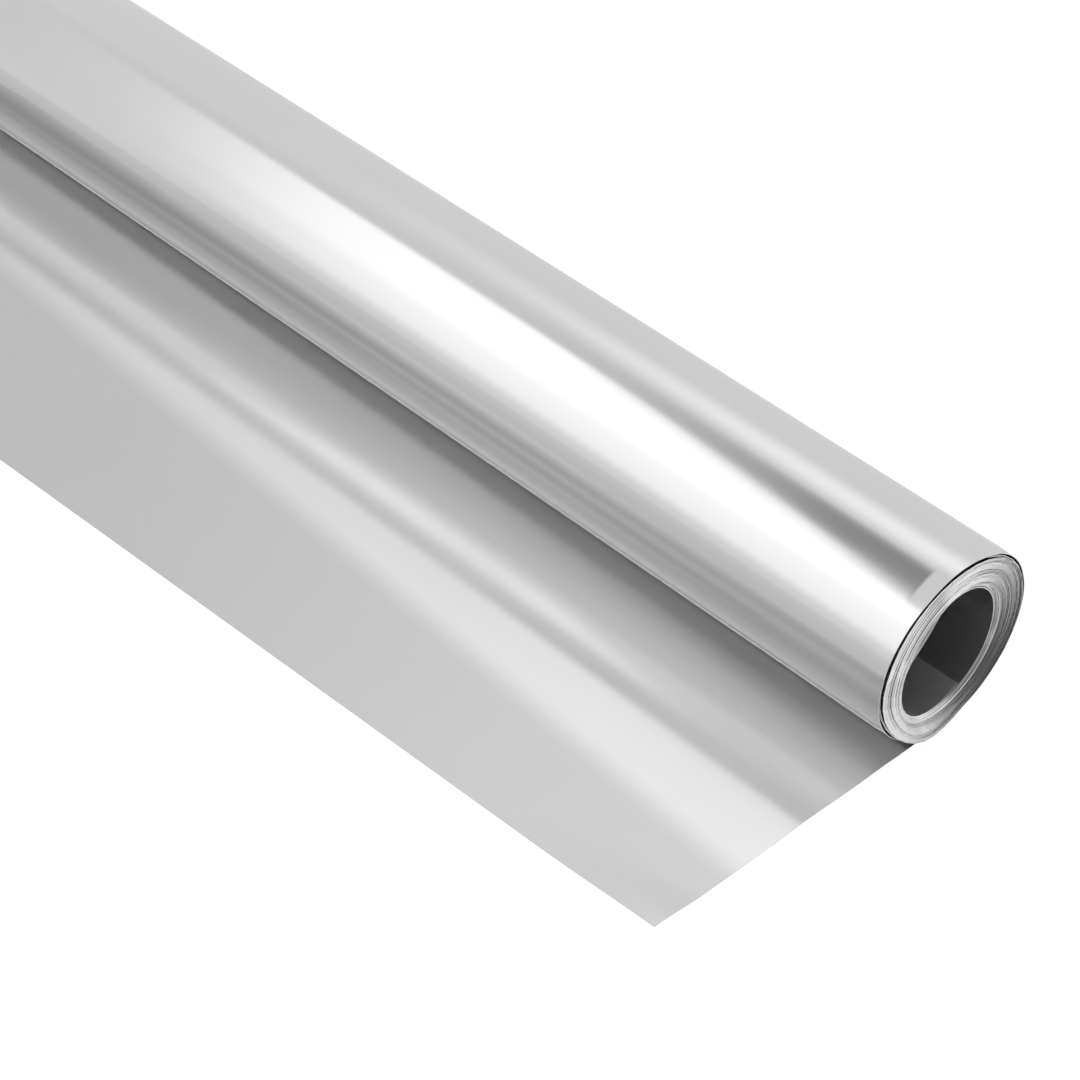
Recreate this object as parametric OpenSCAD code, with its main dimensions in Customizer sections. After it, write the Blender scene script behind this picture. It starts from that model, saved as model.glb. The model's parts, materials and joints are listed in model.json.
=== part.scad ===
// Aluminium foil roll: one strip of foil, wound on itself without a core.
// The outer end is pulled out from under the roll and lies flat in front of it.
// The roll lies along X, the pulled-out sheet points to -Y, and the table is at Z = 0.

/* [Foil] */
// Width of the foil, which is the length of the roll
foil_w = 450; // [200:10:600]
// Thickness of the foil as drawn, thicker than the real foil
foil_t = 0.3; // [0.25:0.05:0.5]

/* [Roll] */
// Diameter of the hole through the roll
hole_d = 34; // [20:1:60]
// Turns of foil in the roll
turns = 15; // [4:1:20]
// Gap between two neighbouring turns
turn_gap = 0.35; // [0.3:0.05:0.8]
// Extra gap over and under a loosened turn, and half of its extra gap behind the roll
slack = 0.6; // [0:0.05:0.8]
// One turn in this many is a loosened one
loose_every = 5; // [2:1:10]
// Angle by which the free inner end runs on past the lowest point of the hole
inner_end = 23; // [5:1:60]
// Width of the flat spot that the roll stands on
flat_w = 5; // [2:0.5:6]

/* [Sheet] */
// How far the pulled-out sheet sits back from the +X end of the roll
set_back = 1; // [0:0.1:4]
// Reach of the pulled-out sheet in front of the hole's axis, at the +X end
sheet_reach = 106; // [85:1:200]
// Extra reach at the -X end, because the free edge is cut off-square
sheet_skew = 15; // [0:1:30]
// Width of the flat foot under the roll, in front of the hole's axis
foot_w = 14; // [8:1:20]
// Length of one shallow wave of the sheet
wave_l = 21; // [12:1:24]
// Height of a wave
wave_h = 0.8; // [0.2:0.1:2]
// Waves in the sheet
waves = 3; // [1:1:3]

/* [Hidden] */

$fn = 180;
pitch = foil_t + turn_gap;
last = 4 * turns; // the quarter turn that the sheet leaves from
wave_steps = 12; // straight steps that draw one wave
flat_share = 0.4; // share of the flat spot that the foot takes behind the roll's lowest line
tail_share = 0.8; // thickness left at the foot's back edge, where it runs into the roll
spare = 5; // how far a cutting shape runs past what it cuts

// Middle radius of quarter turn i, counted from the free inner end.
// The first ones lie on one true circle, and the next one climbs over the free end.
// A loosened turn is held at its front, so it springs out from there.
function mid_r(i) =
    hole_d / 2 + foil_t / 2
    + (i < 4 ? 0 : i * pitch / 4 + slack * floor((i + 2) / (4 * loose_every)));

// Centre of quarter turn i: each quarter starts where the last one ended, in the same direction
function centre(i) =
    i == 0 ? [0, 0]
    : centre(i - 1)
      + (mid_r(i) - mid_r(i - 1)) * [[-1, 0], [0, 1], [1, 0], [0, -1]][i % 4];

outer_r = mid_r(last) + foil_t / 2;
sunk = outer_r - sqrt(outer_r ^ 2 - (flat_w / 2) ^ 2); // how far the weight flattens the roll
axis_h = outer_r - sunk - centre(last)[1]; // height of the hole's axis
flat_back = centre(last)[0] + flat_share * flat_w; // just inside the flat spot's back edge
sheet_end = sheet_reach + sheet_skew;

// Height of the sheet's underside at a distance in front of the axis
function wave_at(reach) =
    let (along = reach - foot_w)
    along < 0 || along > waves * wave_l ? 0 : wave_h / 2 * (1 - cos(360 * along / wave_l));

// Ring of foil around a centre, of which only the given sector is kept
module foil_arc(i) {
    translate(centre(i))
        intersection() {
            difference() {
                circle(r = mid_r(i) + foil_t / 2);
                circle(r = mid_r(i) - foil_t / 2);
            }
            rotate(-90 * (i + 1)) children();
        }
}

// Section of the wound quarter turns, flattened where they meet the table
module wound_section() {
    intersection() {
        translate([0, axis_h])
            for (i = [1:last])
                foil_arc(i) square(2 * mid_r(i));
        translate([-2 * outer_r, 0])
            square(4 * outer_r);
    }
}

// Section of the free inner end, a short arc that runs on past the lowest point
module inner_end_section() {
    side = 2 * mid_r(0);
    translate([0, axis_h])
        foil_arc(0) polygon([[0, 0], [side, 0], [side, side * tan(inner_end)]]);
}

// Section of the pulled-out sheet, from under the roll to its longest reach
module sheet_section() {
    step = wave_l / wave_steps;
    reaches = concat(
        [-flat_back],
        [for (k = [0:waves * wave_steps]) foot_w + k * step],
        [sheet_end]
    );
    under = [for (y = reaches) [-y, wave_at(y)]];
    over = [for (k = [len(reaches) - 1:-1:1]) under[k] + [0, foil_t]];
    polygon(concat(under, over, [[flat_back, tail_share * foil_t]]));
}

// Lays a section of the strip along X, with its middle at the given place
module along_x(middle) {
    translate([middle, 0, 0])
        rotate([90, 0, 90])
            linear_extrude(foil_w, center = true) children();
}

// Everything in front of the free edge, which is cut off-square
module off_square_cut() {
    half = foil_w / 2 + set_back + spare;
    slope = sheet_skew / foil_w;
    front = sheet_end + spare + slope * half;
    translate([0, 0, -spare])
        linear_extrude(2 * spare + wave_h)
            polygon([
                [-half, -sheet_reach - slope * (foil_w / 2 + half)],
                [half, -sheet_reach - slope * (foil_w / 2 - half)],
                [half, -front],
                [-half, -front]
            ]);
}

module foil() {
    color([0.80, 0.81, 0.82]) {
        along_x(0) {
            inner_end_section();
            wound_section();
        }
        difference() {
            along_x(-set_back) sheet_section();
            off_square_cut();
        }
    }
}

foil();
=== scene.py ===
import json
import math

import bpy
import numpy as np
from mathutils import Matrix


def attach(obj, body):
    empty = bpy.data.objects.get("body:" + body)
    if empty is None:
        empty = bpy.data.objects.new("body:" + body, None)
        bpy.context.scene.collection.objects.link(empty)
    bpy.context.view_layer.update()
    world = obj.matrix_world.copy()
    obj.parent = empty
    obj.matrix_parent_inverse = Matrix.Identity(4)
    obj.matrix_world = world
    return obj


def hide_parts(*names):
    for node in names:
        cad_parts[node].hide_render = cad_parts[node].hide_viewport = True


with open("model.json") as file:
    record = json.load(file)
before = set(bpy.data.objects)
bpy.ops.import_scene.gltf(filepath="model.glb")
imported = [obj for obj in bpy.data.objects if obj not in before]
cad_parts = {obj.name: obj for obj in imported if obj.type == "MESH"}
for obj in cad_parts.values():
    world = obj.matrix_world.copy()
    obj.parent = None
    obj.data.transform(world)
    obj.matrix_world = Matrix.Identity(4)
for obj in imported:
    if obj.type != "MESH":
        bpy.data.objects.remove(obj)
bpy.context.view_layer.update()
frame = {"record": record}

MM = 0.001

# Sizes of the CAD part, in millimetres. The bore is the hole through the roll, and as long as the roll.
# Its quarter turns are counted from the free inner end, and the sheet leaves from the last one.
bore = next(mount for mount in frame["record"]["mounts"] if mount["name"] == "spindle_hole")
FOIL_W = bore["dims"]["length_mm"]
HOLE_R = bore["dims"]["r_mm"]
AXIS_H = bore["pos_m"][2] / MM
FOIL_T = 0.3
TURNS = 15
PITCH = 0.65
SLACK = 0.6
LOOSE_EVERY = 5
SET_BACK = 1.0
SHEET_REACH = 106.0
SHEET_SKEW = 15.0
LAST = 4 * TURNS

# The finer winding that is shown here: a pack of turns, the outermost turn round it, and the sheet
PACK_TURNS = 30
PACK_T = 0.285
OUTER_T = 0.16
END_LIFT = 1.0
CORNER_LIFT = 1.0

# Points round one turn of the pack, round the outermost turn and along the sheet, and those at the
# pack's end over which its thickness changes to the outermost turn's
PACK_STEPS = 36
OUTER_STEPS = 200
SHEET_STEPS = 112
JOIN_STEPS = 12

# Angles round the roll are in degrees: 0 behind, 90 on top, 180 in front and 270 at the bottom.
# The photo looks at the near end, at +X, and shows what is behind on its right.
BOTTOM = 270.0
FREE_END = 293.0

# The floor lies a hair under the foil, so that their faces stay apart
FLOOR_DROP = 0.05
FLOOR_HALF = 4000.0

# The camera, fitted to the outlines of the roll, its end and the sheet in the photo. Its place is in
# diameters of the roll, from the near end, the outermost turn's middle and the table. That middle
# lies a little behind the hole's axis.
ROLL_D = 57.5
TURN_MIDDLE = 1.39
CAMERA_PLACE = (6.07472, -9.12588, 10.12004)
CAMERA_RIGHT = (0.698442, 0.714328, 0.043758)
CAMERA_UP = (-0.485064, 0.427547, 0.762835)
CAMERA_BACK = (0.526206, -0.554021, 0.645111)
CAMERA_LENS = 107.56
CAMERA_SENSOR = 36.0


def smooth(value, low, high):
    """0 up to low, 1 from high on, with a soft rise between."""
    share = np.clip((value - low) / (high - low), 0.0, 1.0)
    return share * share * (3.0 - 2.0 * share)


def around(angle, middle, half):
    """1 at an angle, falling softly to 0 at half the given width away; all in degrees."""
    off = (angle - middle + 180.0) % 360.0 - 180.0
    return np.where(np.abs(off) < half, 0.5 + 0.5 * np.cos(np.pi * np.clip(off / half, -1, 1)), 0.0)


def between(value, points):
    """Straight lines through (value, result) points."""
    return np.interp(value, *np.transpose(points))


def rays(angle):
    """Directions as (y, z) at angles round the roll."""
    return np.stack([np.cos(np.radians(angle)), np.sin(np.radians(angle))], 1)


def cad_radius(i):
    """Middle radius of the CAD part's quarter turn i, counted from the free inner end."""
    if i < 4:
        return HOLE_R + FOIL_T / 2
    return HOLE_R + FOIL_T / 2 + i * PITCH / 4 + SLACK * ((i + 2) // (4 * LOOSE_EVERY))


def cad_centre(i):
    """Centre of quarter turn i, as (y, z) from the hole's axis."""
    y = z = 0.0
    for k in range(1, i + 1):
        step = cad_radius(k) - cad_radius(k - 1)
        y_way, z_way = ((-1, 0), (0, 1), (1, 0), (0, -1))[k % 4]
        y += step * y_way
        z += step * z_way
    return np.array([y, z])


def outer_radius(i):
    """Middle radius of the outermost turn as shown, with its outside where the CAD part's is."""
    return cad_radius(i) + FOIL_T / 2 - OUTER_T / 2


def lowest(i):
    """Lowest point of quarter turn i's circle, as (y, z) from the hole's axis."""
    return cad_centre(i) - np.array([0.0, outer_radius(i)])


def hole_radius(angle):
    """The hole is pressed oval, and its lower front is dented outwards."""
    oval = 0.9 * np.cos(2.0 * np.radians(angle - 58.0))
    dent = 1.1 * around(angle, 232.0, 70.0)
    return HOLE_R + 0.75 + oval + dent


def pack_outside(angle):
    """Points that the pack's outside would have at each angle, a changing gap inside the outermost turn."""
    turned = (BOTTOM - angle) % 360.0 / 360.0
    turned[-1] = 1.0
    quarter = np.minimum((turned * 4).astype(int), 3) + LAST - 3
    centres = np.array([cad_centre(i) for i in quarter])
    radii = np.array([outer_radius(i) for i in quarter])
    gap = between(turned, ((0, 0), (0.08, 0.55), (0.25, 0.75), (0.375, 1.3), (0.5, 1.75),
                           (0.6, 1.15), (0.66, 0.5), (0.75, 0.35), (0.9, 0.45), (1, 1)))
    # Towards its end the pack leaves the outermost turn, to run into that turn's start
    gap *= np.where(turned > 0.9, np.hypot(*(lowest(LAST - 3) - lowest(LAST))), 1.0)
    return centres + (radii - gap)[:, None] * rays(angle)


def pack_line():
    """Centre line of the pack, from the free inner end to where the outermost turn starts.

    Gives its points as (y, z) from the hole's axis, their angles, how deep they lie in the pack,
    from 0 at the hole to 1 at its outside, and the foil's thickness there.
    """
    wound = FREE_END - BOTTOM + 360.0 * PACK_TURNS
    run = np.linspace(0.0, wound, int(PACK_STEPS * wound / 360.0))
    angle = FREE_END - run
    turn = run / 360.0
    lift = END_LIFT * (1.0 - smooth(run, 0.0, 55.0))
    inside = rays(angle) * (hole_radius(angle) + PACK_T / 2 - lift)[:, None]

    # The first turn stays on the hole, and then the turns climb; tight in front and loose behind
    loose = around(angle, 324.0, 122.0)
    depth = np.where(turn < 1.0, np.clip((turn - 0.8) / 0.2, 0.0, 1.0), turn) / turn[-1]
    share = depth ** (1.0 + 0.22 * loose)
    for wide, before, after, where in ((0.012, 0.58, 0.60, 1.0 - loose),
                                       (0.045, 0.20, 0.23, loose),
                                       (0.020, 0.33, 0.35, loose)):
        share += wide * (smooth(depth, before, after) - smooth(depth, after, 1.0)) * where
    points = inside + (pack_outside(angle) - inside) * share[:, None]

    # Thinner where it is loose, and in bands, so that the turns show in groups
    bands = 0.5 + 0.5 * np.sin(17.0 * depth + 2.4 * np.cos(np.radians(angle - 200.0)) + 1.0)
    thick = PACK_T * (1.0 - 0.22 * loose - 0.62 * loose * smooth(depth, 0.20, 0.25))
    thick *= 1.0 - (0.36 - 0.12 * loose) * bands
    return points, angle, depth, thick


def outer_line():
    """Centre line of the outermost turn, the CAD part's last four quarter turns, and its angles."""
    points, angles = [], []
    for i in range(LAST - 3, LAST + 1):
        start = BOTTOM - 90.0 * ((i - 1) % 4)
        angle = np.linspace(start, start - 90.0, OUTER_STEPS // 4, endpoint=i == LAST)
        points.append(cad_centre(i) + outer_radius(i) * rays(angle))
        angles.append(angle)
    return np.concatenate(points), np.concatenate(angles)


def pack_slip(angle, depth):
    """How far the pack's rim sticks out of the roll's near end."""
    innermost = -0.75 + 1.1 * around(angle, 137.0, 40.0) + 0.25 * around(angle, 315.0, 60.0)
    innermost *= 1.0 - smooth(depth, 0.07, 0.13)
    pushed_out = 2.4 * around(angle, 244.0, 56.0) * smooth(depth, 0.25, 0.6)
    outer_turns = 0.25 * smooth(depth, 0.58, 0.60)
    last_turn = 1.2 * smooth(depth, 0.955, 0.97) * (1.0 - around(angle, 350.0, 90.0))
    uneven = 0.10 * np.sin(40.0 * depth + 1.0) + 0.05 * np.sin(131.0 * depth + 0.4)
    return innermost + pushed_out - outer_turns - last_turn + uneven


def outer_slip(angle):
    """How far the outermost turn's rim sticks out of the roll's near end: it lies back, as the sheet does."""
    return -SET_BACK * between(BOTTOM - angle, (
        (0, 0), (12, 0.9), (90, 0.75), (112, 0.6), (135, 0.3), (150, 0.05), (180, -0.1), (220, 0),
        (260, 0.25), (300, 0.5), (330, 0.7), (360, 1)))


def rim_bend(angle, depth, from_end):
    """How far the third turn or so is bent outwards at its rim, behind at the bottom."""
    where = around(angle, 322.0, 85.0) * smooth(depth, 0.070, 0.090) * (1.0 - smooth(depth, 0.12, 0.26))
    return 0.30 * where[:, None] * (1.0 - smooth(from_end, 0.0, 1.6))[None, :]


def rim_bevel(angle, depth):
    """How far the pack's rims slant back towards their outer sides, in front at the top."""
    return 0.11 * around(angle, 143.0, 34.0) * smooth(depth, 0.42, 0.60)


def facets(angle, x):
    """Height of the shallow facets along the outermost turn, which make the streaks in its reflections."""
    along = x / FOIL_W
    high = np.zeros_like(x)
    for times, swing, phase, drift in ((7, 0.035, 0.4, 0.9), (11, 0.022, 2.1, -1.3), (17, 0.012, 4.0, 1.8),
                                       (29, 0.006, 1.2, -2.2), (43, 0.003, 5.1, 2.9)):
        wander = 0.5 * np.sin(3.1 * along + phase)
        high += swing * np.sin(times * np.radians(angle) + phase + drift * along + wander)
    return high


def outer_swell(angle, x, from_end):
    """How far the outermost turn lies outside its arcs: facets, and a rim that curls in at the near end."""
    step = np.arange(len(angle), dtype=float)
    high = facets(angle[:, None], x) * smooth(step, 0, 20)[:, None] * smooth(step[::-1], 0, 20)[:, None]
    curl = 0.055 * np.maximum(4.6 - from_end, 0.0)[None, :] * smooth(step[::-1], 0, 30)[:, None]
    return high - curl


def sheet_height(y, x):
    """Height of the sheet over the table: two shallow waves, fine ripples and a lifted near corner."""
    along = x / FOIL_W
    reach = -y
    high = np.zeros_like(y)
    for back, peak, front, rise, drift in ((14.4, 20.0, 29.5, 0.20, 2.0), (30.8, 50.6, 63.4, 0.48, 3.0)):
        place = reach - drift * (along - 0.3) - 0.5 * np.sin(7.0 * along + peak)
        swell = 0.85 + 0.15 * np.sin(5.0 * along + 2.0 * peak)
        high += rise * swell * (smooth(place, back, peak) - smooth(place, peak, front))
    fine = np.sin(0.72 * reach + 2.5 * along) + 0.7 * np.sin(1.13 * reach - 3.5 * along + 1.0)
    high += 0.006 * (1.0 + fine) * smooth(reach, 16.0, 30.0) * (1.0 - smooth(reach, 60.0, 90.0))
    high += CORNER_LIFT * smooth(reach, 88.0, 104.0) * smooth(along, 0.41, 0.50)
    return high


def sheet_line(foot, x):
    """Middle line of the sheet, as (y, z) from the table, from the foot to its free edge, cut off-square."""
    out = np.linspace(0.0, 1.0, SHEET_STEPS + 1)[1:, None]
    reach = SHEET_REACH + SHEET_SKEW * (0.5 - x / FOIL_W)
    y = foot + (-reach - foot) * out
    return np.stack([y, OUTER_T / 2 + sheet_height(y, x)], 2)


def stations():
    """Distances from the near end of the rows of points along the roll, closest where rims bend."""
    near = [0, 0.35, 1, 2, 3, 4, 4.5, 5.1, 6.2, 9, 15, 23, 34, 50, 72, 100, 135, 170, 205, 240, 275]
    far = [310, 345, 380, 410, 432, 445, FOIL_W]
    return np.array(near + far, float)


def places(slip, from_end):
    """Where each row's points are along the roll. What slips at the near end slips less at the far one."""
    near = FOIL_W / 2 + slip
    far = -FOIL_W / 2 + 0.4 * slip - 0.3
    share = from_end / FOIL_W
    return near[:, None] * (1.0 - share)[None, :] + far[:, None] * share[None, :]


def strip_faces(n, m):
    """Faces of a closed strip with n by m points on each side, and which of them are smooth."""
    off = n * m
    i, j = np.meshgrid(np.arange(n - 1), np.arange(m - 1), indexing="ij")
    side = (i * m + j).ravel()
    near = np.arange(n - 1) * m
    far = near + m - 1
    first = np.arange(m - 1)
    last = (n - 1) * m + first
    faces = np.concatenate([
        np.stack([side, side + 1, side + m + 1, side + m], 1),
        np.stack([side, side + m, side + m + 1, side + 1], 1) + off,
        np.stack([near, near + m, near + m + off, near + off], 1),
        np.stack([far, far + off, far + m + off, far + m], 1),
        np.stack([first, first + off, first + 1 + off, first + 1], 1),
        np.stack([last, last + 1, last + 1 + off, last + off], 1),
    ])
    return faces, np.arange(len(faces)) < 2 * len(side)


def foil_strip():
    """The strip as one closed mesh: its points, its faces, which are smooth, and how matt each point is."""
    pack, pack_angle, depth, pack_t = pack_line()
    outer, outer_angle = outer_line()
    from_end = stations()
    n_pack, n_wound, m = len(pack), len(pack) + len(outer), len(from_end)
    n = n_wound + SHEET_STEPS
    in_pack, in_outer, in_sheet = slice(0, n_pack), slice(n_pack, n_wound), slice(n_wound, n)

    slip = np.full(n, -SET_BACK)
    slip[in_pack] = pack_slip(pack_angle, depth)
    slip[in_outer] = outer_slip(outer_angle)
    x = places(slip, from_end)

    # Middle line of the foil, as (y, z), first from the hole's axis and then from the table.
    # The outermost turn's lower half doesn't sink into the table.
    line = np.zeros((n, m, 2))
    line[in_pack] = pack[:, None, :]
    line[in_pack] += rim_bend(pack_angle, depth, from_end)[..., None] * rays(pack_angle)[:, None, :]
    line[in_outer] = outer[:, None, :]
    swell = outer_swell(outer_angle, x[in_outer], from_end)
    line[in_outer] += swell[..., None] * rays(outer_angle)[:, None, :]
    line[..., 1] += AXIS_H
    low = line[n_pack + len(outer) // 2:n_wound, :, 1]
    np.maximum(low, OUTER_T / 2, out=low)
    line[in_sheet] = sheet_line(outer[-1, 0], x[in_sheet])

    # The two sides of the foil, half its thickness off the middle line
    half_t = np.full(n, OUTER_T / 2)
    half_t[in_pack] = pack_t / 2
    half_t[n_pack - JOIN_STEPS:n_pack] = np.linspace(pack_t[-JOIN_STEPS], OUTER_T, JOIN_STEPS) / 2
    onward = np.gradient(line, axis=0)
    onward /= np.linalg.norm(onward, axis=2, keepdims=True)
    inwards = np.stack([onward[..., 1], -onward[..., 0]], 2) * half_t[:, None, None]
    x_bevelled = x.copy()
    x_bevelled[in_pack, 0] -= rim_bevel(pack_angle, depth)
    inner_side = np.concatenate([x[..., None], line + inwards], 2).reshape(-1, 3)
    outer_side = np.concatenate([x_bevelled[..., None], line - inwards], 2).reshape(-1, 3)

    # The inner side is the matt one, and more so next to the free end
    matt = np.zeros((2, n, m))
    matt[0] = 1.0
    matt[0, in_pack] += 1.0 - smooth(np.arange(n_pack) * 360.0 / PACK_STEPS, 50.0, 85.0)[:, None]
    return np.concatenate([inner_side, outer_side]) * MM, *strip_faces(n, m), matt.ravel()


def add_mesh(name, verts, faces, smooth_faces, matt, material):
    """A mesh of quads, with sharp edges round the flat ones and an attribute that says how matt it is."""
    mesh = bpy.data.meshes.new(name)
    mesh.vertices.add(len(verts))
    mesh.vertices.foreach_set("co", np.asarray(verts, np.float32).ravel())
    mesh.loops.add(4 * len(faces))
    mesh.loops.foreach_set("vertex_index", np.asarray(faces, np.int32).ravel())
    mesh.polygons.add(len(faces))
    mesh.polygons.foreach_set("loop_start", np.arange(0, 4 * len(faces), 4, dtype=np.int32))
    mesh.polygons.foreach_set("use_smooth", smooth_faces)
    mesh.update(calc_edges=True)
    mesh.validate()
    sharp = {edge for face in np.nonzero(~smooth_faces)[0] for edge in mesh.polygons[int(face)].edge_keys}
    marks = np.array([tuple(sorted(edge.vertices)) in sharp for edge in mesh.edges], bool)
    attribute = mesh.attributes.get("sharp_edge") or mesh.attributes.new("sharp_edge", "BOOLEAN", "EDGE")
    attribute.data.foreach_set("value", marks)
    mesh.attributes.new("matt", "FLOAT", "POINT").data.foreach_set("value", np.asarray(matt, np.float32))
    mesh.materials.append(material)
    obj = bpy.data.objects.new(name, mesh)
    bpy.context.scene.collection.objects.link(obj)
    return obj


class Tree:
    """Short way to write a node tree. Values may be numbers or sockets."""

    def __init__(self, owner):
        owner.use_nodes = True
        self.nodes = owner.node_tree.nodes
        self.links = owner.node_tree.links
        self.nodes.clear()

    def add(self, kind, inputs=None, **settings):
        node = self.nodes.new(kind)
        for key, value in settings.items():
            setattr(node, key, value)
        for key, value in (inputs or {}).items():
            if isinstance(value, bpy.types.NodeSocket):
                self.links.new(value, node.inputs[key])
            else:
                node.inputs[key].default_value = value
        return node

    def math(self, operation, *values):
        return self.add("ShaderNodeMath", dict(enumerate(values)), operation=operation).outputs[0]

    def plus(self, total, *others):
        for other in others:
            total = self.math("ADD", total, other)
        return total

    def times(self, product, *others):
        for other in others:
            product = self.math("MULTIPLY", product, other)
        return product

    def step(self, value, low, high, start=0.0, end=1.0, kind="SMOOTHERSTEP"):
        """The start result up to low and the end result from high on, with a soft change between."""
        node = self.add("ShaderNodeMapRange", {"Value": value, "From Min": low, "From Max": high,
                                               "To Min": start, "To Max": end}, interpolation_type=kind)
        return node.outputs["Result"]

    def ladder(self, value, points):
        """A smooth line through (value, result) points."""
        total = points[0][1]
        for (low, start), (high, end) in zip(points, points[1:]):
            total = self.plus(total, self.step(value, low, high, 0.0, end - start))
        return total

    def window(self, value, low, high, soft):
        """1 between low and high, 0 outside, with soft edges."""
        rise = self.step(value, low - soft / 2, low + soft / 2)
        fall = self.step(value, high - soft / 2, high + soft / 2, 1.0, 0.0)
        return self.times(rise, fall)

    def mix(self, share, a, b):
        """a where the share is 0, b where it is 1."""
        return self.math("MULTIPLY_ADD", share, self.math("SUBTRACT", b, a), a)

    def camera_sees(self, level, otherwise):
        """A level for what the camera sees directly, and another for light and reflections."""
        seen = self.add("ShaderNodeLightPath").outputs["Is Camera Ray"]
        return self.plus(self.times(seen, level), self.times(self.math("SUBTRACT", 1.0, seen), otherwise))


def foil_material():
    """Bright foil in slightly uneven patches, duller on its matt side, whose colour also has painted
    reflections: broad darker and lighter bands along the sheet.
    """
    material = bpy.data.materials.new("foil")
    material.diffuse_color = (0.80, 0.81, 0.82, 1.0)
    tree = Tree(material)
    place = tree.add("ShaderNodeTexCoord").outputs["Object"]
    split = tree.add("ShaderNodeSeparateXYZ", {0: place})
    along, across = split.outputs["X"], split.outputs["Y"]
    patches = tree.add("ShaderNodeTexNoise", {"Vector": place, "Scale": 14.0, "Detail": 3.0}).outputs[0]
    tone = tree.add("ShaderNodeMix", {0: patches, 6: (0.795, 0.795, 0.795, 1), 7: (0.835, 0.835, 0.835, 1)},
                    data_type="RGBA").outputs[2]

    # The matt side is 1, a scuffed part of it up to 2 and the bright side 0. Up to 1, it also sets where the
    # painted reflection bands fall.
    matt = tree.add("ShaderNodeAttribute", attribute_name="matt").outputs["Fac"]
    rough = tree.plus(tree.step(patches, 0.3, 0.7, 0.11, 0.14), tree.times(matt, 0.12))

    # Painted reflections: broad darker and lighter bands along the sheet, in metres from the axis: one slants
    # and one bows. The colour is darker far out in front, lighter in the middle, and darker near the roll and
    # in the hole.
    slanted = tree.plus(across, tree.math("MULTIPLY_ADD", along, 0.064, -0.0144))
    bowed = tree.math("MULTIPLY_ADD", tree.window(along, 0.01, 0.15, 0.12), -0.007, across)
    streaks = tree.plus(tree.ladder(slanted, ((-0.084, -0.17), (-0.070, 0.08))),
                        tree.step(bowed, -0.050, -0.041, 0.0, -0.18))
    # The painted reflection bands scale the matt side's colour
    painted_reflection_shade = tree.math("MULTIPLY_ADD", tree.math("MINIMUM", matt, 1.0), streaks, 1.0)
    colour = tree.add("ShaderNodeVectorMath", {0: tone, "Scale": painted_reflection_shade}, operation="SCALE").outputs[0]
    shader = tree.add("ShaderNodeBsdfPrincipled", {"Base Color": colour, "Roughness": rough, "Metallic": 1.0})
    tree.add("ShaderNodeOutputMaterial", {"Surface": shader.outputs[0]})
    return material


def studio():
    """White round the object, and for its reflections a studio of soft boxes and flags set by direction.

    turn is in degrees: 0 straight behind, 90 overhead and 180 straight in front. away runs from -1
    along the roll towards its far end to 1 towards its near end.
    """
    world = bpy.data.worlds.new("studio")
    bpy.context.scene.world = world
    tree = Tree(world)
    direction = tree.add("ShaderNodeTexCoord").outputs["Generated"]
    split = tree.add("ShaderNodeSeparateXYZ", {0: direction})
    turn = tree.times(tree.math("ARCTAN2", split.outputs["Z"], split.outputs["Y"]), 180.0 / math.pi)
    away = split.outputs["X"]

    # A grey room with a key light over the front, a soft box behind, and a dark flag between them.
    # The key light's edge leans forwards where the roll's near part mirrors it.
    grey = 0.73
    near = tree.math("POWER", tree.step(away, -0.56, -0.42, kind="LINEAR"), 1.5)
    over = tree.math("SUBTRACT", turn, tree.math("MULTIPLY_ADD", near, 29.0, 90.0))
    key = tree.times(tree.step(over, -5, 6),
                     tree.ladder(turn, ((128, 1.0), (150, 0.72), (158, 0.64), (178, 0.04))),
                     tree.step(away, -0.69, -0.59, -0.06, 0.56))
    fill = tree.times(tree.window(turn, 42, 66, 26), tree.step(away, -0.66, -0.43, 0.0, 0.30))
    flag = tree.times(tree.step(turn, 71, 84), tree.step(over, -6, 4, 1.0, 0.0),
                      tree.math("MULTIPLY_ADD", near, -0.69, -0.04),
                      tree.step(away, -0.432, -0.388, 1.0, 0.0))
    total = tree.math("MAXIMUM", tree.plus(grey, key, fill, flag), 0.0)

    # What the foil shows of itself is lit apart, by how many times the light was mirrored before,
    # so that the crevice under the roll stays dark
    middle = tree.window(away, -0.64, -0.49, 0.10)
    second = tree.ladder(turn, ((74, 2.2), (92, 0.82), (106, 0.61), (130, 0.39),
                                (146, 0.54), (160, 0.72), (172, 1.05)))
    second = tree.times(tree.plus(second, tree.times(middle, tree.step(turn, 142, 166), 0.50)),
                        tree.ladder(away, ((-0.68, 0.88), (-0.60, 1.0), (-0.50, 1.0), (-0.43, 0.90))))
    third = tree.times(tree.mix(tree.step(turn, 124, 147), tree.step(away, -0.56, -0.44, 1.44, 0.22),
                                tree.ladder(turn, ((150, 1.21), (164, 0.82), (180, 0.88)))),
                       tree.step(away, -0.68, -0.55, 0.60, 1.0))
    later = tree.times(tree.ladder(turn, ((120, 2.7), (142, 1.25), (154, 0.24), (161, 0.52), (173, 0.40))),
                       tree.step(away, -0.50, -0.43, 1.0, 0.85))
    near_side = tree.step(away, -0.30, 0.10, 1.0, 0.76)
    mirrored = tree.add("ShaderNodeLightPath").outputs["Glossy Depth"]
    for times, level in ((2, second), (3, third), (4, later)):
        reached = tree.step(mirrored, times - 0.6, times - 0.4)
        total = tree.mix(reached, total, tree.times(level, near_side))

    background = tree.add("ShaderNodeBackground", {"Color": (1, 1, 1, 1),
                                                   "Strength": tree.camera_sees(1.0, total)})
    tree.add("ShaderNodeOutputWorld", {"Surface": background.outputs[0]})


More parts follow.
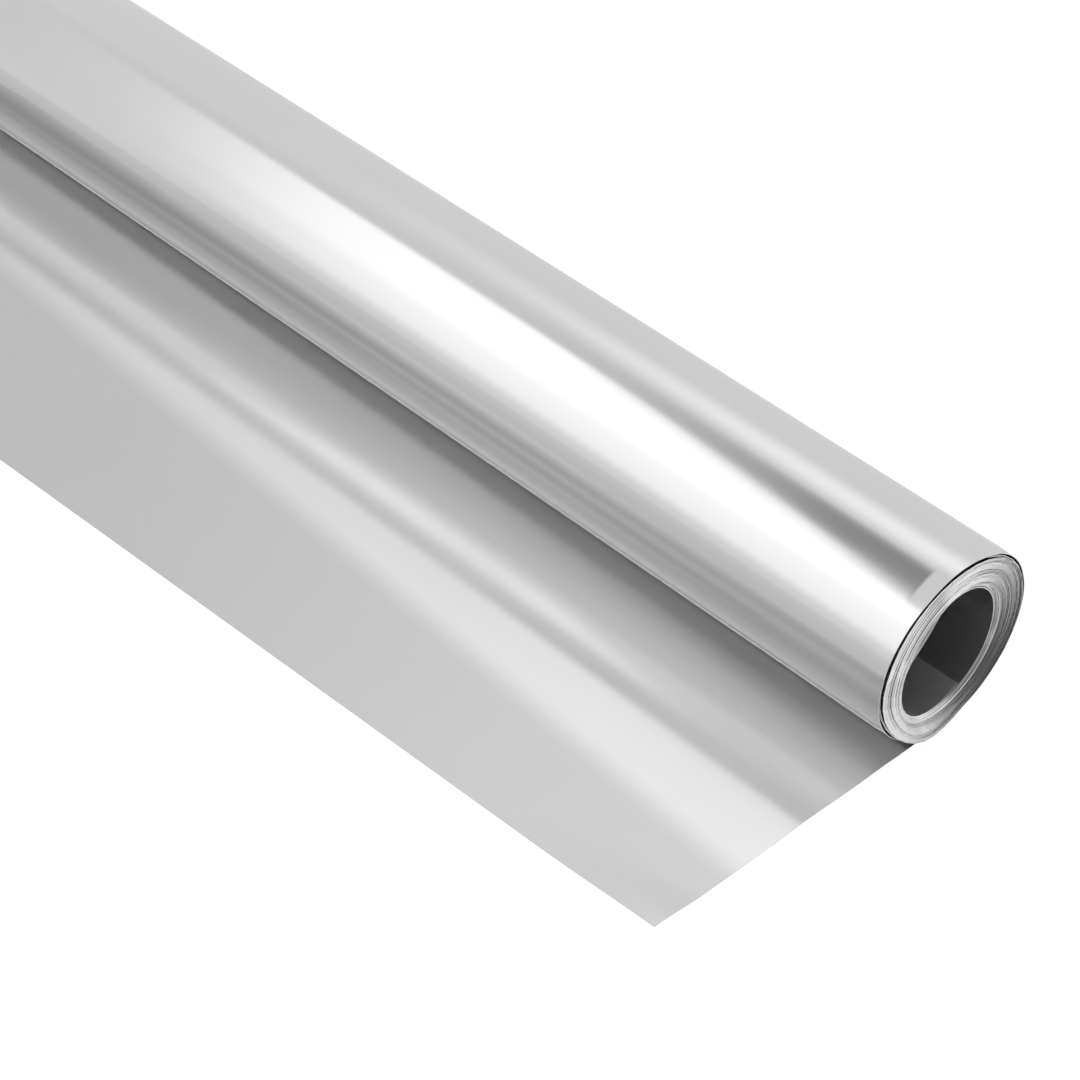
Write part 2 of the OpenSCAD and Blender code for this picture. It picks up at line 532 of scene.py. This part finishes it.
def floor():
    """A pale floor, plain to the camera and darker in the foil's reflections, where it has painted shade and
    a painted brighter glow by place, in metres from the hole's axis.
    """
    material = bpy.data.materials.new("floor")
    tree = Tree(material)
    place = tree.add("ShaderNodeTexCoord").outputs["Object"]
    split = tree.add("ShaderNodeSeparateXYZ", {0: place})
    along, across = split.outputs["X"], split.outputs["Y"]
    again = tree.step(tree.add("ShaderNodeLightPath").outputs["Glossy Depth"], 1.4, 1.6, 0.0, 0.95)
    # The floor's glow in the foil's reflections: painted shade in a strip behind the axis just beyond the
    # roll's near end, a painted brighter glow behind and further beyond that end, and more glow in front
    # after a second reflection
    mirrored = tree.plus(
        tree.ladder(across, ((-0.35, 0.42), (-0.12, 0.38), (0.05, 0.50))),
        tree.times(tree.step(across, 0.010, 0.045, 0.0, -0.075), tree.window(along, 0.228, 0.2535, 0.008)),
        tree.times(tree.step(along, 0.226, 0.240, 0.0, 0.25), tree.step(across, -0.05, 0.0)),
        tree.times(again, tree.step(across, -0.13, -0.06, 1.0, 0.0)))
    light = tree.add("ShaderNodeEmission", {"Color": (1, 1, 1, 1),
                                            "Strength": tree.camera_sees(0.86, mirrored)})
    matt = tree.add("ShaderNodeBsdfDiffuse", {"Color": (0.24, 0.24, 0.24, 1)})
    both = tree.add("ShaderNodeAddShader", {0: light.outputs[0], 1: matt.outputs[0]})
    tree.add("ShaderNodeOutputMaterial", {"Surface": both.outputs[0]})

    corners = np.array([(-1, -1), (1, -1), (1, 1), (-1, 1)]) * FLOOR_HALF
    verts = np.column_stack([corners, np.full(len(corners), -FLOOR_DROP)]) * MM
    obj = add_mesh("floor", verts, np.array([[0, 1, 2, 3]]), np.zeros(1, bool), np.zeros(4), material)


def camera():
    """The photo's view."""
    data = bpy.data.cameras.new("camera")
    data.sensor_width = CAMERA_SENSOR
    data.lens = CAMERA_LENS
    data.clip_start = 0.01
    data.clip_end = 20.0
    obj = bpy.data.objects.new("camera", data)
    place = np.array(CAMERA_PLACE) * ROLL_D + (FOIL_W / 2, TURN_MIDDLE, 0.0)
    rows = np.column_stack([CAMERA_RIGHT, CAMERA_UP, CAMERA_BACK, place * MM])
    obj.matrix_world = Matrix([*rows.tolist(), (0, 0, 0, 1)])
    bpy.context.scene.collection.objects.link(obj)
    bpy.context.scene.camera = obj


foil = add_mesh("foil_strip", *foil_strip(), foil_material())
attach(foil, "root")
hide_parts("foil")
studio()
floor()
camera()
bpy.context.scene.view_settings.view_transform = "Standard"
